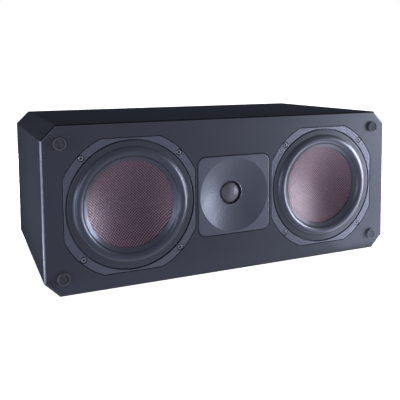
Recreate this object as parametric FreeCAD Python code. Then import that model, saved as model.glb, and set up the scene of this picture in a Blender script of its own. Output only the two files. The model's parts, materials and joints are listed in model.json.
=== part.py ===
"""Wall speaker: an octagonal box with two woven-dish woofers either side of a dish-guided dome tweeter.

Frame: millimetres, +Z up, the front faces -Y, origin at the middle of the flat base.
Each driver is drawn about its own axis, where s is the depth behind the front of the baffle.
"""
import FreeCAD, Part
import math
import os

from FreeCAD import Vector

# Cabinet
WIDTH = 470.0
HEIGHT = 195.0
DEPTH = 257.0
CORNER = 17.0                # leg of the chamfer along the four long edges
WALL = 18.0
BAFFLE = 22.0
REAR = 18.0
EDGE_ROUND = 2.5             # rounding round the front of the baffle
PANEL_FIT = 0.15             # gap between a glued-in panel and the shell
BRACE_X = 53.0
BRACE_T = 10.0
BRACE_RIM = 24.0             # material left round a brace's window
BRACE_ROUND = 18.0

# Pegs that a front grille clips on
STUD_INSET = 21.0            # from the cabinet's sides, top and base
STUD_R = 7.0
STUD_PROUD = 3.4
STUD_ROUND = 0.5
STUD_SHANK_R = 4.0
STUD_SHANK = 12.0
STUD_RIM = 1.3               # raised rim round the peg's face
STUD_DISH = 0.5
PEG_FIT = 0.1

# Woofer, front
DRIVER_GAP = 3.6             # between a woofer's flange and the tweeter's plate
FLANGE_R = 86.9
FLANGE_FLAT = 79.4           # half the width across the four flats
FLANGE_T = 6.0
FLANGE_FIT = 0.6             # gap round a flange in its rebate
FLANGE_BREAK = 0.5           # broken front edge of the flange
GASKET_T = 1.0
CUTOUT_R = 72.5
RIM_R = 76.0                 # outside of the surround's glued rim
RIM_GROOVE = 1.5             # dark groove between the rim and the flange
RIM_FRONT = 0.3
RIM_SEAT = 3.8
ROLL_OUT = 69.0
ROLL_IN = 57.0
ROLL_PROUD = 3.6
FOOT_ROUND = 1.2             # hollow where the roll meets the rim and the lip
RIM_ROUND = 0.6
ROLL_T = 1.2
LIP_T = 1.0
GLUE = 0.3
DISH_EDGE_R = 52.0           # where the weave comes out from under the lip
DISH_EDGE_S = 5.0
DISH_R = 100.0
CONE_T = 1.0

# Woofer, basket and suspension
FRAME_R = 70.0
FRAME_T = 3.0
FRAME_NECK = 3.0
POT_R = 51.5
SHELF_IN = 44.0
FLOOR_T = 4.0
FLOOR_HOLE = 30.0
SPIDER_S = 33.0
SPIDER_T = 0.6
SPIDER_WAVES = 4
SPIDER_SWING = 1.3
SPOKES = 6
SPOKE_ANGLE = 17.0
WINDOW_MARGIN = 2.0

# Woofer, motor
MOTOR_S = 50.0
TOP_PLATE_R = 48.0
TOP_PLATE_T = 6.0
MAGNET_R = 50.0
MAGNET_IN = 25.0
MAGNET_T = 18.0
BACK_PLATE_R = 48.0
BACK_PLATE_T = 6.0
PLATE_BREAK = 1.5
COIL_R = 19.5                # mean radius of the coil former
FORMER_T = 0.5
WINDING_T = 0.5
WINDING = 14.0
GAP_CLEAR = 0.5
POLE_RISE = 1.0
POLE_VENT_R = 6.0

# Woofer screws
SCREW_PITCH = 58.5           # half the side of the screw square
SCREW_HEAD_R = 3.2
SCREW_HEAD_T = 2.6
SCREW_SINK = 0.3
SCREW_R = 1.9
SCREW_LENGTH = 20.0
SCREW_FIT = 0.1
SCREW_HOLE_FIT = 0.4
COUNTERBORE_FIT = 0.7
HEX_SOCKET = 2.5             # across flats
HEX_DEPTH = 1.6
HEAD_ROUND = 0.8

# Tweeter, face
PLATE = 99.0
PLATE_CORNER = 10.0
PLATE_T = 5.0
PLATE_PROUD = 0.8
PLATE_ROUND = 1.2
PLATE_FIT = 0.9
PLATE_GASKET = 0.8
GUIDE_R = 47.0
GUIDE_DISH = 85.0
THROAT_R = 15.1
BEAD = 1.3
BEAD_RISE = 0.5
HORN_R = 42.5
HORN_FIT = 0.8
COLLAR_R = 34.0
COLLAR_T = 5.5
DIAPHRAGM_S = 13.2
CARRIER_R = 18.2
CARRIER_T = 2.0
CARRIER_FIT = 0.2
DOME_R = 13.0
DOME_RISE = 5.8
DOME_T = 0.5
DOME_BASE = 0.9              # how far the dome's edge lies behind the carrier's front
TWEETER_ROLL_T = 0.4
TWEETER_ROLL = 0.7
TWEETER_GLUE = 0.25

# Tweeter, motor
TWEETER_TOP_T = 4.0
TWEETER_MAGNET_R = 33.0
TWEETER_MAGNET_IN = 17.5
TWEETER_MAGNET_T = 12.0
TWEETER_BACK_R = 31.0
TWEETER_BACK_T = 4.0
TWEETER_FORMER_T = 0.3
TWEETER_WINDING_T = 0.3
TWEETER_WINDING = 3.0
TWEETER_GAP = 0.35
TWEETER_VENT_R = 4.0
CHAMBER_R = 22.0
CHAMBER_T = 2.0
CHAMBER_DEPTH = 18.0
CHAMBER_ROUND = 4.0

# Tweeter fixing, from behind the baffle
LUG_PITCH = 42.0
LUG_R = 4.0
LUG = 8.0
LUG_FIT = 0.3
LUG_BORE_R = 1.6
LUG_SCREW_R = 1.5
LUG_SCREW_HEAD_R = 3.2
LUG_SCREW_HEAD_T = 2.2
LUG_SCREW_BITE = 7.0
LUG_HOLE_R = 2.0

# Terminal cup and binding posts
CUP_W = 108.0
CUP_H = 78.0
CUP_CORNER = 8.0
CUP_T = 3.0
CUP_FIT = 0.5
RECESS_W = 80.0
RECESS_H = 50.0
RECESS_CORNER = 9.0
RECESS_S = 30.0
CUP_WALL = 2.5
CUP_SCREW_X = 47.0
CUP_SCREW_Z = 32.0
CUP_SCREW_R = 1.6
CUP_SCREW_HEAD_R = 3.2
CUP_SCREW_HEAD_T = 1.8
CUP_SCREW_LENGTH = 15.0
POST_X = 9.525               # half of the usual 19.05 mm spacing
POST_R = 3.0
POST_LENGTH = 24.0
POST_TAIL = 12.0
POST_COLLAR_R = 6.5
POST_COLLAR_T = 3.0
POST_FIT = 0.1
SOCKET_R = 2.0               # 4 mm plug
SOCKET = 16.0
WIRE_HOLE_R = 1.5
WIRE_HOLE_T = 5.8
WASHER_R = 6.2
WASHER_T = 1.0
RUNNING = 0.08
NUT_R = 8.0
NUT_LENGTH = 19.0
NUT_SKIRT = 4.0
NUT_SKIRT_R = 6.8
NUT_ROUND = 1.0
FLUTES = 12
FLUTE_R = 1.2
LOCK_NUT = 10.0              # across flats
LOCK_NUT_T = 5.0

# Wall fixing inserts
INSERT_X = 100.0
INSERT_Z = 50.0
INSERT_R = 4.5
INSERT_BORE_R = 2.5          # tapped M6
INSERT_LENGTH = 14.0
INSERT_HEAD_R = 6.5
INSERT_HEAD_T = 1.2
INSERT_FIT = 0.1

# Crossover
BOARD_X = 88.0
BOARD_Y = 112.0
BOARD_T = 1.6
BOARD_CENTRE_Y = 34.0
BOARD_INSET = 6.0
SPACER_R = 3.5
SPACER = 6.0
BOARD_SCREW_R = 1.5
BOARD_SCREW_HEAD_R = 2.8
BOARD_SCREW_HEAD_T = 1.8
BOARD_SCREW_BITE = 9.0
LOW_COIL_R = 24.0
LOW_COIL_HOLE_R = 11.0
LOW_COIL_H = 22.0
HIGH_COIL_R = 15.0
HIGH_COIL_HOLE_R = 7.0
HIGH_COIL_H = 14.0
COIL_ROUND = 2.0
LOW_CAP_R = 12.0
LOW_CAP = 44.0
HIGH_CAP_R = 9.0
HIGH_CAP = 34.0
CAP_ROUND = 1.5
RESISTOR_X = 10.0
RESISTOR_Y = 34.0
RESISTOR_Z = 9.0
COMPONENT_GAP = 4.0          # between neighbours on the board
COMPONENT_EDGE = 5.0         # to the board's edge
REST_GAP = 0.1

# Damping wadding behind each woofer
WADDING_FRONT = 100.0
WADDING_END = 8.0
WADDING_SIDE = 4.0
WADDING_ROUND = 14.0

FRONT = -DEPTH / 2
BACK = DEPTH / 2
AXIS_Z = HEIGHT / 2
WOOFER_X = PLATE / 2 + DRIVER_GAP + FLANGE_FLAT
STUD_X = WIDTH / 2 - STUD_INSET
STUD_Z = HEIGHT / 2 - STUD_INSET
SQUARE = [(-1, 1), (1, 1), (1, -1), (-1, -1)]
ALONG = Vector(0, 1, 0)
UP = Vector(0, 0, 1)


# Drawing helpers, in a driver's own frame unless they say otherwise
def at(r, s):
    return Vector(r, s, 0)


def path(*points):
    """Straight edges from point to point."""
    return [Part.LineSegment(a, b).toShape() for a, b in zip(points, points[1:])]


def arc(start, middle, end):
    return Part.Arc(start, middle, end).toShape()


def turned(edges, angle=360):
    """A solid of revolution about the driver's axis from a closed outline."""
    return Part.Face(Part.Wire(edges)).revolve(Vector(), ALONG, angle)


def turned_polygon(*points):
    return turned(path(*points, points[0]))


def disc(radius, s_from, s_to, x=0.0, z=0.0):
    return Part.makeCylinder(radius, s_to - s_from, Vector(x, s_from, z), ALONG)


def ring(outer, inner, s_from, s_to):
    return turned_polygon(at(inner, s_from), at(outer, s_from), at(outer, s_to), at(inner, s_to))


def slab(width, height, corner, s_from, s_to):
    """A plate across the axis, with its four corners rounded."""
    box = Part.makeBox(width, s_to - s_from, height, Vector(-width / 2, s_from, -height / 2))
    edges = [e for e in box.Edges if abs(e.tangentAt(e.FirstParameter).y) > 0.5]
    return box.makeFillet(corner, edges)


def hexagon(across, s_from, s_to):
    """A hexagonal prism along the axis."""
    radius = across / math.sqrt(3)
    corners = [math.radians(60 * i) for i in range(7)]
    outline = Part.makePolygon([Vector(radius * math.cos(a), s_from, radius * math.sin(a)) for a in corners])
    return Part.Face(outline).extrude(ALONG * (s_to - s_from))


def edges_at(shape, s):
    """The edges that lie wholly at one depth."""
    return [e for e in shape.Edges if all(abs(v.Y - s) < 1e-6 for v in e.Vertexes)]


def circles_at(shape, point):
    """The circular edges about the axis that pass through a point (r, s) of the outline."""
    circles = [e for e in shape.Edges if e.Curve.TypeId == "Part::GeomCircle"]
    return [e for e in circles if at(e.Curve.Radius, e.Curve.Center.y).isEqual(point, 1e-6)]


def moved(shape, x=0.0, y=0.0, z=0.0):
    copy = shape.copy()
    copy.translate(Vector(x, y, z))
    return copy


def on_front(shape, x):
    """From a driver's frame to its place on the baffle."""
    return moved(shape, x, FRONT, AXIS_Z)


def at_corners(shape, x, z):
    return [moved(shape, sx * x, 0, sz * z) for sx, sz in SQUARE]


def socket_screw(head_r, head_t, shank_r, length, s_from):
    """A round-headed screw that points along +s, with a hexagon socket in its head."""
    head = disc(head_r, s_from, s_from + head_t)
    head = head.makeFillet(HEAD_ROUND, edges_at(head, s_from))
    shank = disc(shank_r, s_from + head_t, s_from + length)
    return head.fuse(shank).cut(hexagon(HEX_SOCKET, s_from, s_from + HEX_DEPTH)).removeSplitter()


# Cabinet
def octagon(inset, y_from, y_to):
    """The cabinet's outline, moved inwards by inset, as a prism."""
    x, z = WIDTH / 2, HEIGHT / 2
    points = []
    for sx, sz in SQUARE:
        beside = Vector(sx * x, y_from, AXIS_Z + sz * (z - CORNER))
        above = Vector(sx * (x - CORNER), y_from, AXIS_Z + sz * z)
        points += [beside, above] if sx * sz < 0 else [above, beside]
    face = Part.Face(Part.makePolygon(points + points[:1]))
    if inset:
        face = face.makeOffset2D(-inset, 2)
    return face.extrude(ALONG * (y_to - y_from))


def board_corner_points():
    x = BOARD_X / 2 - BOARD_INSET
    y = BOARD_Y / 2 - BOARD_INSET
    return [(sx * x, BOARD_CENTRE_Y + sy * y) for sx, sy in SQUARE]


def cabinet_shell():
    outside = octagon(0, FRONT + BAFFLE, BACK)
    inside = octagon(WALL, FRONT + BAFFLE, BACK)
    depth = BOARD_SCREW_BITE + SCREW_FIT
    pilots = [Part.makeCylinder(BOARD_SCREW_R + SCREW_FIT, depth, Vector(x, y, WALL - depth), UP)
              for x, y in board_corner_points()]
    return outside.cut(inside).cut(pilots)


def front_baffle():
    plate = octagon(0, FRONT, FRONT + BAFFLE)
    plate = plate.makeFillet(EDGE_ROUND, edges_at(plate, FRONT))
    rebate = FLANGE_T + GASKET_T
    for x in (-WOOFER_X, WOOFER_X):
        pilot = disc(SCREW_R + SCREW_FIT, 0, SCREW_SINK + SCREW_LENGTH + SCREW_FIT)
        tools = [flange_outline(FLANGE_FIT, 0, rebate), disc(CUTOUT_R, 0, BAFFLE)]
        tools += at_corners(pilot, SCREW_PITCH, SCREW_PITCH)
        plate = plate.cut([on_front(tool, x) for tool in tools])
    side = PLATE + 2 * PLATE_FIT
    floor = plate_back() + PLATE_GASKET
    lug_hole = disc(LUG_R + LUG_FIT, 0, plate_back() + LUG + LUG_FIT).fuse(disc(LUG_HOLE_R, 0, BAFFLE))
    tools = [slab(side, side, PLATE_CORNER + PLATE_FIT, 0, floor), disc(HORN_R + HORN_FIT, 0, BAFFLE)]
    tools += at_corners(lug_hole, LUG_PITCH, LUG_PITCH)
    tools += at_corners(disc(STUD_SHANK_R + PEG_FIT, 0, STUD_SHANK + PEG_FIT), STUD_X, STUD_Z)
    return plate.cut([on_front(tool, 0) for tool in tools])


def rear_panel():
    plate = octagon(WALL + PANEL_FIT, BACK - REAR, BACK)
    hole_w = RECESS_W + 2 * (CUP_WALL + CUP_FIT)
    hole_h = RECESS_H + 2 * (CUP_WALL + CUP_FIT)
    tools = [slab(hole_w, hole_h, RECESS_CORNER + CUP_WALL + CUP_FIT, -REAR, 0),
             slab(CUP_W + 2 * CUP_FIT, CUP_H + 2 * CUP_FIT, CUP_CORNER + CUP_FIT, -CUP_T, 0)]
    pilot = disc(CUP_SCREW_R + SCREW_FIT, -CUP_SCREW_LENGTH - SCREW_FIT, 0)
    tools += at_corners(pilot, CUP_SCREW_X, CUP_SCREW_Z)
    socket = disc(INSERT_R + INSERT_FIT, -INSERT_LENGTH - INSERT_FIT, 0)
    socket = socket.fuse(disc(INSERT_HEAD_R + INSERT_FIT, -INSERT_HEAD_T, 0))
    tools += at_corners(socket, INSERT_X, INSERT_Z)
    return plate.cut([moved(tool, 0, BACK, AXIS_Z) for tool in tools])


def brace(side):
    """A window brace that ties the top, the bottom, the baffle and the rear together."""
    length = DEPTH - BAFFLE - REAR
    height = HEIGHT - 2 * WALL
    plate = Part.makeBox(BRACE_T, length, height, Vector(-BRACE_T / 2, 0, WALL))
    window = Part.makeBox(BRACE_T, length - 2 * BRACE_RIM, height - 2 * BRACE_RIM,
                          Vector(-BRACE_T / 2, BRACE_RIM, WALL + BRACE_RIM))
    corners = [e for e in window.Edges if abs(e.tangentAt(e.FirstParameter).x) > 0.5]
    return moved(plate.cut(window.makeFillet(BRACE_ROUND, corners)), side * BRACE_X, FRONT + BAFFLE)


def grille_studs():
    head = disc(STUD_R, -STUD_PROUD, 0)
    head = head.makeFillet(STUD_ROUND, edges_at(head, -STUD_PROUD))
    dish = disc(STUD_R - STUD_RIM, -STUD_PROUD, STUD_DISH - STUD_PROUD)
    stud = head.cut(dish).fuse(disc(STUD_SHANK_R, 0, STUD_SHANK))
    return Part.makeCompound([on_front(s, 0) for s in at_corners(stud, STUD_X, STUD_Z)])


# Woofer
def flange_outline(grow, s_from, s_to):
    """A round flange with four flats."""
    flat = FLANGE_FLAT + grow
    box = Part.makeBox(2 * flat, s_to - s_from, 2 * flat, Vector(-flat, s_from, -flat))
    return disc(FLANGE_R + grow, s_from, s_to).common(box)


def dish(r, ahead=0.0):
    """Depth of the woofer's spherical dish at radius r, or of a layer that far ahead of it."""
    centre = DISH_EDGE_S - math.sqrt(DISH_R ** 2 - DISH_EDGE_R ** 2)
    return centre + math.sqrt((DISH_R - ahead) ** 2 - r ** 2)


def dish_arc(r_from, r_to, ahead=0.0):
    return arc(*[at(r, dish(r, ahead)) for r in (r_from, (r_from + r_to) / 2, r_to)])


def former_radii():
    return COIL_R - FORMER_T / 2, COIL_R + FORMER_T / 2


def woofer_basket():
    wall = turned_polygon(
        at(FRAME_R, RIM_SEAT), at(FRAME_R, FLANGE_T + FRAME_NECK), at(POT_R, SPIDER_S), at(POT_R, MOTOR_S),
        at(FLOOR_HOLE, MOTOR_S), at(FLOOR_HOLE, MOTOR_S - FLOOR_T), at(SHELF_IN, MOTOR_S - FLOOR_T),
        at(SHELF_IN, SPIDER_S), at(POT_R - FRAME_T, SPIDER_S), at(FRAME_R - FRAME_T, FLANGE_T + FRAME_NECK),
        at(FRAME_R - FRAME_T, RIM_SEAT))
    flange = flange_outline(0, 0, FLANGE_T)
    flange = flange.makeChamfer(FLANGE_BREAK, edges_at(flange, 0))
    screw_hole = disc(SCREW_HEAD_R + COUNTERBORE_FIT, 0, SCREW_SINK + SCREW_HEAD_T)
    screw_hole = screw_hole.fuse(disc(SCREW_R + SCREW_HOLE_FIT, 0, FLANGE_T))
    flange = flange.cut([disc(RIM_R + RIM_GROOVE, 0, RIM_SEAT), disc(FRAME_R - FRAME_T, 0, FLANGE_T)]
                        + at_corners(screw_hole, SCREW_PITCH, SCREW_PITCH))
    open_angle = 360 / SPOKES - SPOKE_ANGLE
    top, bottom = FLANGE_T + FRAME_NECK, SPIDER_S - WINDOW_MARGIN
    window = turned(path(at(SHELF_IN, top), at(FLANGE_R, top), at(FLANGE_R, bottom), at(SHELF_IN, bottom),
                         at(SHELF_IN, top)), open_angle)
    windows = []
    for i in range(SPOKES):
        sector = window.copy()
        sector.rotate(Vector(), ALONG, i * 360 / SPOKES + SPOKE_ANGLE / 2)
        windows.append(sector)
    return wall.cut(windows).fuse(flange).removeSplitter()


def woofer_gasket():
    back = FLANGE_T + GASKET_T
    holes = at_corners(disc(SCREW_R + SCREW_HOLE_FIT, FLANGE_T, back), SCREW_PITCH, SCREW_PITCH)
    return flange_outline(0, FLANGE_T, back).cut(holes + [disc(CUTOUT_R, 0, BAFFLE)])


def woofer_surround():
    """One rubber moulding: the glued rim, the half roll and the lip that overlaps the dish."""
    crest = (ROLL_OUT + ROLL_IN) / 2
    lip = GLUE + LIP_T
    inner_foot = at(ROLL_IN, dish(ROLL_IN, lip))
    tip = at(DISH_EDGE_R, dish(DISH_EDGE_R, lip))
    under_tip = at(DISH_EDGE_R, dish(DISH_EDGE_R, GLUE))
    under_foot = at(ROLL_IN + ROLL_T, dish(ROLL_IN + ROLL_T, GLUE))
    rim_heel = at(ROLL_OUT - ROLL_T, RIM_SEAT)
    outer_foot = at(ROLL_OUT, RIM_FRONT)
    edges = path(rim_heel, at(RIM_R, RIM_SEAT), at(RIM_R, RIM_FRONT), outer_foot)
    edges.append(arc(outer_foot, at(crest, -ROLL_PROUD), inner_foot))
    edges.append(dish_arc(ROLL_IN, DISH_EDGE_R, lip))
    edges += path(tip, under_tip)
    edges.append(dish_arc(DISH_EDGE_R, ROLL_IN + ROLL_T, GLUE))
    edges.append(arc(under_foot, at(crest, ROLL_T - ROLL_PROUD), rim_heel))
    moulding = turned(edges)
    feet = circles_at(moulding, outer_foot) + circles_at(moulding, inner_foot)
    moulding = moulding.makeFillet(FOOT_ROUND, feet)
    return moulding.makeFillet(RIM_ROUND, circles_at(moulding, at(RIM_R, RIM_FRONT)))


def woofer_cone():
    """The dish that moves: a shallow bowl with no dust cap."""
    edges = [dish_arc(0, ROLL_IN)]
    edges += path(at(ROLL_IN, dish(ROLL_IN)), at(ROLL_IN, dish(ROLL_IN, -CONE_T)))
    edges.append(dish_arc(ROLL_IN, 0, -CONE_T))
    edges += path(at(0, dish(0, -CONE_T)), at(0, dish(0)))
    return turned(edges)


def woofer_voice_coil():
    inner, outer = former_radii()
    middle = MOTOR_S + TOP_PLATE_T / 2
    end = middle + WINDING / 2
    former = turned_polygon(at(inner, dish(inner, -CONE_T)), at(outer, dish(outer, -CONE_T)),
                            at(outer, end), at(inner, end))
    return former.fuse(ring(outer + WINDING_T, outer, middle - WINDING / 2, end)).removeSplitter()


def woofer_spider():
    """A corrugated disc, glued to the basket's shelf, that centres the coil."""
    inner = former_radii()[1] + GLUE
    pitch = (SHELF_IN - inner) / (2 * SPIDER_WAVES)
    rim = POT_R - FRAME_T - GLUE
    back, front = SPIDER_S, SPIDER_S - SPIDER_T

    def wave(i, s):
        swing = SPIDER_SWING if i % 2 else -SPIDER_SWING
        return arc(*[at(inner + (i + k) * pitch, s + bow) for k, bow in ((0, 0), (0.5, swing), (1, 0))])

    edges = [wave(i, back) for i in range(2 * SPIDER_WAVES)]
    edges += path(at(SHELF_IN, back), at(rim, back), at(rim, front), at(SHELF_IN, front))
    edges += [wave(i, front) for i in reversed(range(2 * SPIDER_WAVES))]
    edges += path(at(inner, front), at(inner, back))
    return turned(edges)


def motor_depths():
    """Front of the top plate, the magnet and the back plate, and the back of the motor."""
    magnet = MOTOR_S + TOP_PLATE_T
    back_plate = magnet + MAGNET_T
    return MOTOR_S, magnet, back_plate, back_plate + BACK_PLATE_T


def woofer_top_plate():
    front, magnet, _, _ = motor_depths()
    return ring(TOP_PLATE_R, former_radii()[1] + WINDING_T + GAP_CLEAR, front, magnet)


def woofer_magnet():
    _, magnet, back_plate, _ = motor_depths()
    return ring(MAGNET_R, MAGNET_IN, magnet, back_plate)


def woofer_yoke():
    """The back plate and the pole in one piece, vented through the middle."""
    front, _, back_plate, back = motor_depths()
    pole = former_radii()[0] - GAP_CLEAR
    tip = front - POLE_RISE
    return turned_polygon(
        at(POLE_VENT_R, tip), at(pole, tip), at(pole, back_plate), at(BACK_PLATE_R, back_plate),
        at(BACK_PLATE_R, back - PLATE_BREAK), at(BACK_PLATE_R - PLATE_BREAK, back), at(POLE_VENT_R, back))


def woofer_screws():
    screw = socket_screw(SCREW_HEAD_R, SCREW_HEAD_T, SCREW_R, SCREW_LENGTH, SCREW_SINK)
    return Part.makeCompound(at_corners(screw, SCREW_PITCH, SCREW_PITCH))


def woofer():
    return {"basket": woofer_basket(), "gasket": woofer_gasket(), "surround": woofer_surround(),
            "cone": woofer_cone(), "voice_coil": woofer_voice_coil(), "spider": woofer_spider(),
            "top_plate": woofer_top_plate(), "magnet": woofer_magnet(), "yoke": woofer_yoke(),
            "screws": woofer_screws()}


# Tweeter
def plate_back():
    return PLATE_T - PLATE_PROUD


def guide(r):
    """Depth of the dished waveguide at radius r."""
    return math.sqrt(GUIDE_DISH ** 2 - r ** 2) - math.sqrt(GUIDE_DISH ** 2 - GUIDE_R ** 2) - PLATE_PROUD


def tweeter_motor_front():
    return DIAPHRAGM_S + CARRIER_T


def tweeter_faceplate():
    plate = slab(PLATE, PLATE, PLATE_CORNER, -PLATE_PROUD, plate_back())
    plate = plate.makeFillet(PLATE_ROUND, edges_at(plate, -PLATE_PROUD))
    plate = plate.cut(disc(GUIDE_R, -PLATE_PROUD, plate_back()))
    bead = THROAT_R + BEAD
    seat = tweeter_motor_front()
    edges = [arc(*[at(r, guide(r)) for r in (GUIDE_R, (GUIDE_R + bead) / 2, bead)])]
    edges.append(arc(at(bead, guide(bead)), at(THROAT_R + BEAD / 2, guide(THROAT_R + BEAD / 2) - BEAD_RISE),
                     at(THROAT_R, guide(THROAT_R))))
    edges += path(at(THROAT_R, guide(THROAT_R)), at(THROAT_R, DIAPHRAGM_S),
                  at(CARRIER_R + CARRIER_FIT, DIAPHRAGM_S), at(CARRIER_R + CARRIER_FIT, seat),
                  at(COLLAR_R, seat), at(COLLAR_R, seat - COLLAR_T), at(HORN_R, plate_back()),
                  at(GUIDE_R, plate_back()), at(GUIDE_R, -PLATE_PROUD))
    lug = disc(LUG_R, plate_back(), plate_back() + LUG)
    bore = disc(LUG_BORE_R, plate_back(), plate_back() + LUG)
    body = plate.fuse([turned(edges)] + at_corners(lug, LUG_PITCH, LUG_PITCH)).removeSplitter()
    return body.cut(at_corners(bore, LUG_PITCH, LUG_PITCH))


def tweeter_gasket():
    back = plate_back()
    sheet = slab(PLATE, PLATE, PLATE_CORNER, back, back + PLATE_GASKET)
    lug_hole = disc(LUG_R + LUG_FIT, back, back + PLATE_GASKET)
    return sheet.cut([disc(HORN_R + HORN_FIT, 0, BAFFLE)] + at_corners(lug_hole, LUG_PITCH, LUG_PITCH))


def dome_base():
    return DIAPHRAGM_S + DOME_BASE


def tweeter_dome():
    """A thin spherical cap that rises towards the front."""
    base = dome_base()
    sphere = (DOME_R ** 2 + DOME_RISE ** 2) / (2 * DOME_RISE)
    centre = base - DOME_RISE + sphere

    def skin(radius, r_from, r_to):
        stations = (r_from, (r_from + r_to) / 2, r_to)
        return arc(*[at(r, centre - math.sqrt(radius ** 2 - r ** 2)) for r in stations])

    inner = sphere - DOME_T
    inner_edge = math.sqrt(inner ** 2 - (centre - base) ** 2)
    edges = [skin(sphere, 0, DOME_R)]
    edges += path(at(DOME_R, base), at(inner_edge, base))
    edges.append(skin(inner, inner_edge, 0))
    edges += path(at(0, centre - inner), at(0, centre - sphere))
    return turned(edges)


def tweeter_surround():
    """The half roll round the dome and the moulded carrier ring that is clamped."""
    inner = DOME_R + TWEETER_GLUE
    front, back = DIAPHRAGM_S, tweeter_motor_front()
    middle = (inner + THROAT_R) / 2
    foot = dome_base()
    edges = [arc(at(inner, foot), at(middle, foot - TWEETER_ROLL), at(THROAT_R, foot))]
    edges += path(at(THROAT_R, foot), at(THROAT_R, front), at(CARRIER_R, front), at(CARRIER_R, back),
                  at(THROAT_R, back), at(THROAT_R, foot + TWEETER_ROLL_T))
    edges.append(arc(at(THROAT_R, foot + TWEETER_ROLL_T), at(middle, foot + TWEETER_ROLL_T - TWEETER_ROLL),
                     at(inner, foot + TWEETER_ROLL_T)))
    edges += path(at(inner, foot + TWEETER_ROLL_T), at(inner, foot))
    return turned(edges)


def tweeter_coil_radii():
    """Inside and outside of the former, which hangs under the dome's edge, and outside of the winding."""
    outer = DOME_R - DOME_T
    return outer - TWEETER_FORMER_T, outer, outer + TWEETER_WINDING_T


def tweeter_voice_coil():
    inner, outer, wound = tweeter_coil_radii()
    middle = tweeter_motor_front() + TWEETER_TOP_T / 2
    end = middle + TWEETER_WINDING / 2
    former = ring(outer, inner, dome_base(), end)
    return former.fuse(ring(wound, outer, middle - TWEETER_WINDING / 2, end)).removeSplitter()


def tweeter_motor_depths():
    front = tweeter_motor_front()
    magnet = front + TWEETER_TOP_T
    back_plate = magnet + TWEETER_MAGNET_T
    return front, magnet, back_plate, back_plate + TWEETER_BACK_T


def tweeter_top_plate():
    front, magnet, _, _ = tweeter_motor_depths()
    return ring(COLLAR_R, tweeter_coil_radii()[2] + TWEETER_GAP, front, magnet)


def tweeter_magnet():
    _, magnet, back_plate, _ = tweeter_motor_depths()
    return ring(TWEETER_MAGNET_R, TWEETER_MAGNET_IN, magnet, back_plate)


def tweeter_yoke():
    front, _, back_plate, back = tweeter_motor_depths()
    pole = tweeter_coil_radii()[0] - TWEETER_GAP
    return turned_polygon(at(TWEETER_VENT_R, front), at(pole, front), at(pole, back_plate),
                          at(TWEETER_BACK_R, back_plate), at(TWEETER_BACK_R, back), at(TWEETER_VENT_R, back))


def tweeter_rear_chamber():
    """A cup glued behind the yoke, into which the dome's vent opens."""
    back = tweeter_motor_depths()[3]
    end = back + CHAMBER_DEPTH
    cup = disc(CHAMBER_R, back, end)
    cup = cup.makeFillet(CHAMBER_ROUND, edges_at(cup, end))
    return cup.cut(disc(CHAMBER_R - CHAMBER_T, back, end - CHAMBER_T))


def tweeter_screws():
    """Driven from inside the box, so that none shows on the face."""
    screw = socket_screw(LUG_SCREW_HEAD_R, LUG_SCREW_HEAD_T, LUG_SCREW_R,
                         LUG_SCREW_HEAD_T + BAFFLE - plate_back() - LUG + LUG_SCREW_BITE, 0)
    screw.rotate(Vector(), Vector(1, 0, 0), 180)
    screw = moved(screw, 0, BAFFLE + LUG_SCREW_HEAD_T)
    return Part.makeCompound(at_corners(screw, LUG_PITCH, LUG_PITCH))


def tweeter():
    return {"faceplate": tweeter_faceplate(), "gasket": tweeter_gasket(), "dome": tweeter_dome(),
            "surround": tweeter_surround(), "voice_coil": tweeter_voice_coil(),
            "top_plate": tweeter_top_plate(), "magnet": tweeter_magnet(), "yoke": tweeter_yoke(),
            "rear_chamber": tweeter_rear_chamber(), "screws": tweeter_screws()}


# Terminals, drawn with s measured outwards from the back of the cabinet
def on_back(shape, x=0.0):
    return moved(shape, x, BACK, AXIS_Z)


def terminal_cup():
    outer_w, outer_h = RECESS_W + 2 * CUP_WALL, RECESS_H + 2 * CUP_WALL
    body = slab(CUP_W, CUP_H, CUP_CORNER, -CUP_T, 0)
    body = body.fuse(slab(outer_w, outer_h, RECESS_CORNER + CUP_WALL, -RECESS_S - CUP_WALL, 0))
    recess = slab(RECESS_W, RECESS_H, RECESS_CORNER, -RECESS_S, 0)
    post_hole = disc(POST_R + POST_FIT, -RECESS_S - CUP_WALL, -RECESS_S)
    screw_hole = disc(CUP_SCREW_R + SCREW_HOLE_FIT, -CUP_T, 0)
    screw_hole = screw_hole.fuse(disc(CUP_SCREW_HEAD_R + SCREW_HOLE_FIT, -CUP_SCREW_HEAD_T, 0))
    tools = [recess, moved(post_hole, -POST_X), moved(post_hole, POST_X)]
    tools += at_corners(screw_hole, CUP_SCREW_X, CUP_SCREW_Z)
    return on_back(body.removeSplitter().cut(tools))


def terminal_screws():
    screw = socket_screw(CUP_SCREW_HEAD_R, CUP_SCREW_HEAD_T, CUP_SCREW_R, CUP_SCREW_LENGTH, 0)
    screw.rotate(Vector(), Vector(1, 0, 0), 180)
    return Part.makeCompound([on_back(s) for s in at_corners(screw, CUP_SCREW_X, CUP_SCREW_Z)])


def binding_post():
    """A metal stem with a plug socket down its end and a wire hole across it."""
    floor = -RECESS_S
    stem = disc(POST_R, floor - CUP_WALL - POST_TAIL, floor + POST_LENGTH)
    stem = stem.fuse(disc(POST_COLLAR_R, floor, floor + POST_COLLAR_T)).removeSplitter()
    end = floor + POST_LENGTH
    wire_hole = Part.makeCylinder(WIRE_HOLE_R, 2 * POST_R, Vector(0, floor + WIRE_HOLE_T, -POST_R), UP)
    return stem.cut([disc(SOCKET_R, end - SOCKET, end), wire_hole])


def post_washer():
    seat = POST_COLLAR_T - RECESS_S
    return ring(WASHER_R, POST_R + RUNNING, seat, seat + WASHER_T)


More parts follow.
